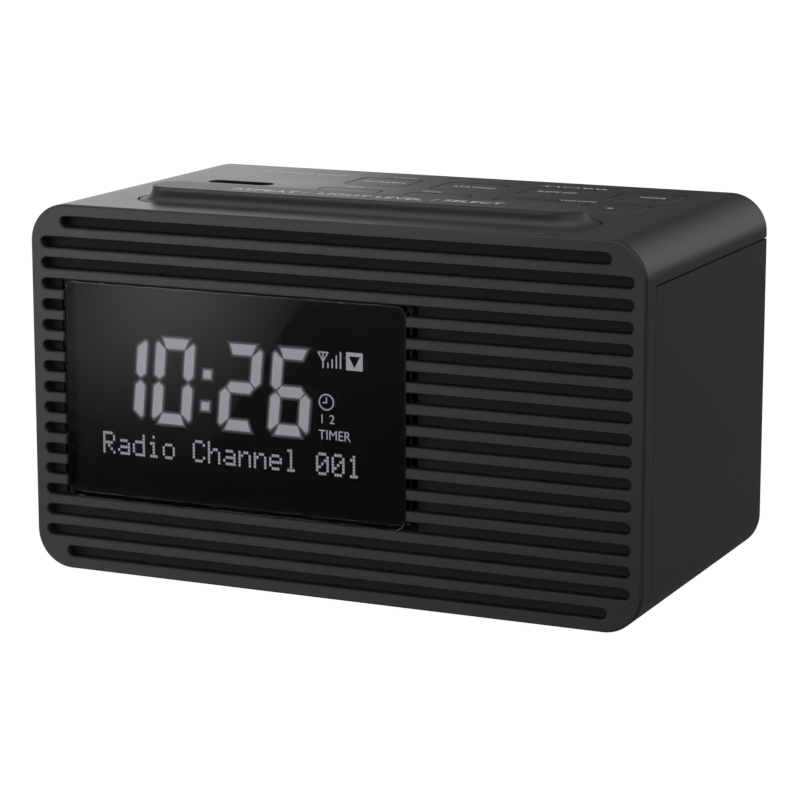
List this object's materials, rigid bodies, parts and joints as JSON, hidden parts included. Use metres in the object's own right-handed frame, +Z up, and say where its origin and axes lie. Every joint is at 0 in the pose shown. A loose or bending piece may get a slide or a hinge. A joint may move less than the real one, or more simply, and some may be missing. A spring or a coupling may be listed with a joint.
{
  "type": "tabletop radio",
  "caption": "Black box-shaped bedside clock radio: slotted front with a smoked display window, long snooze bar, flush top buttons, hinged battery door in the back.",
  "frame": {"origin": "on the table, under the middle of the body", "axes": "+X to the viewer's right along the width, +Y to the back, +Z up"},
  "size_m": [0.17, 0.095, 0.1022],
  "materials": {
    "body_plastic": "fine satin black moulding",
    "smoked_window": "polished smoked acrylic",
    "speaker_cloth": "black acoustic cloth",
    "inner_plastic": "black moulding inside the case",
    "pale_plastic": "pale moulding",
    "lcd_glass": "display glass with polariser",
    "board": "green solder mask",
    "rubber": "black rubber",
    "cone_paper": "black pressed paper",
    "spider_cloth": "impregnated cloth",
    "coil": "enamelled copper on a former",
    "steel": "plated steel",
    "black_steel": "black stamped steel",
    "ferrite": "dark ferrite",
    "cans": "aluminium cans",
    "cable": "insulated cable",
    "cell_jacket": "plain printed cell jacket"
  },
  "bodies": {
    "cabinet": {"aerial_grommet": "rubber", "backlight_guide": "pale_plastic", "backup_cells": "cell_jacket", "battery_contacts": "steel", "board_chips": "inner_plastic", "board_connectors": "pale_plastic", "board_screws": "steel", "cabinet_screws": "steel", "capacitors": "cans", "display_board": "board", "display_lens": "smoked_window", "front_panel": "body_plastic", "key_board": "board", "lcd_glass": "lcd_glass", "lcd_holder": "pale_plastic", "lower_cabinet": "body_plastic", "main_board": "board", "panel_screws": "steel", "power_jack": "inner_plastic", "ribbon_cables": "cable", "rubber_feet": "rubber", "speaker_baffle": "inner_plastic", "speaker_basket": "black_steel", "speaker_cloth": "speaker_cloth", "speaker_gasket": "rubber", "speaker_leads": "cable", "speaker_magnet": "ferrite", "speaker_spider": "spider_cloth", "speaker_surround": "rubber", "speaker_terminals": "inner_plastic", "speaker_top_plate": "steel", "speaker_yoke": "steel", "tact_switches": "inner_plastic", "tuner_shield": "steel", "upper_cabinet": "body_plastic", "usb_socket": "steel", "usb_tongue": "inner_plastic"},
    "snooze": {"snooze_bar": "body_plastic", "snooze_plungers": "pale_plastic"},
    "display_key": {"display_button": "body_plastic", "display_plunger": "pale_plastic"},
    "preset_key": {"preset_button": "body_plastic", "preset_plunger": "pale_plastic"},
    "sleep_key": {"sleep_button": "body_plastic", "sleep_plunger": "pale_plastic"},
    "band_key": {"band_button": "body_plastic", "band_plunger": "pale_plastic"},
    "alarm_one_key": {"alarm_one_button": "body_plastic", "alarm_one_plunger": "pale_plastic"},
    "alarm_two_key": {"alarm_two_button": "body_plastic", "alarm_two_plunger": "pale_plastic"},
    "volume_down_key": {"volume_down_button": "body_plastic", "volume_down_plunger": "pale_plastic"},
    "volume_up_key": {"volume_up_button": "body_plastic", "volume_up_plunger": "pale_plastic"},
    "door": {"battery_door": "body_plastic"},
    "cone": {"speaker_cone": "cone_paper", "dust_cap": "cone_paper", "voice_coil": "coil"}
  },
  "joints": [
    {"name": "snooze_press", "type": "slide", "parent": "cabinet", "child": "snooze", "axis": [0, 0, -1], "range_m": [0, 0.0008], "stiffness_N_per_m": 1500},
    {"name": "display_press", "type": "slide", "parent": "cabinet", "child": "display_key", "axis": [0, 0, -1], "range_m": [0, 0.0005], "stiffness_N_per_m": 1200},
    {"name": "preset_press", "type": "slide", "parent": "cabinet", "child": "preset_key", "axis": [0, 0, -1], "range_m": [0, 0.0005], "stiffness_N_per_m": 1200},
    {"name": "sleep_press", "type": "slide", "parent": "cabinet", "child": "sleep_key", "axis": [0, 0, -1], "range_m": [0, 0.0005], "stiffness_N_per_m": 1200},
    {"name": "band_press", "type": "slide", "parent": "cabinet", "child": "band_key", "axis": [0, 0, -1], "range_m": [0, 0.0005], "stiffness_N_per_m": 1200},
    {"name": "alarm_one_press", "type": "slide", "parent": "cabinet", "child": "alarm_one_key", "axis": [0, 0, -1], "range_m": [0, 0.0005], "stiffness_N_per_m": 1200},
    {"name": "alarm_two_press", "type": "slide", "parent": "cabinet", "child": "alarm_two_key", "axis": [0, 0, -1], "range_m": [0, 0.0005], "stiffness_N_per_m": 1200},
    {"name": "volume_down_press", "type": "slide", "parent": "cabinet", "child": "volume_down_key", "axis": [0, 0, -1], "range_m": [0, 0.0005], "stiffness_N_per_m": 1200},
    {"name": "volume_up_press", "type": "slide", "parent": "cabinet", "child": "volume_up_key", "axis": [0, 0, -1], "range_m": [0, 0.0005], "stiffness_N_per_m": 1200},
    {"name": "battery_door_hinge", "type": "hinge", "parent": "cabinet", "child": "door", "pos_m": [-0.0365, 0.0459, 0.0199], "axis": [-1, 0, 0], "range_deg": [0, 95]},
    {"name": "cone_travel", "type": "slide", "parent": "cabinet", "child": "cone", "axis": [0, -1, 0], "range_m": [-0.0015, 0.0015], "stiffness_N_per_m": 1100, "deforming": ["speaker_surround", "speaker_spider"]}
  ]
}
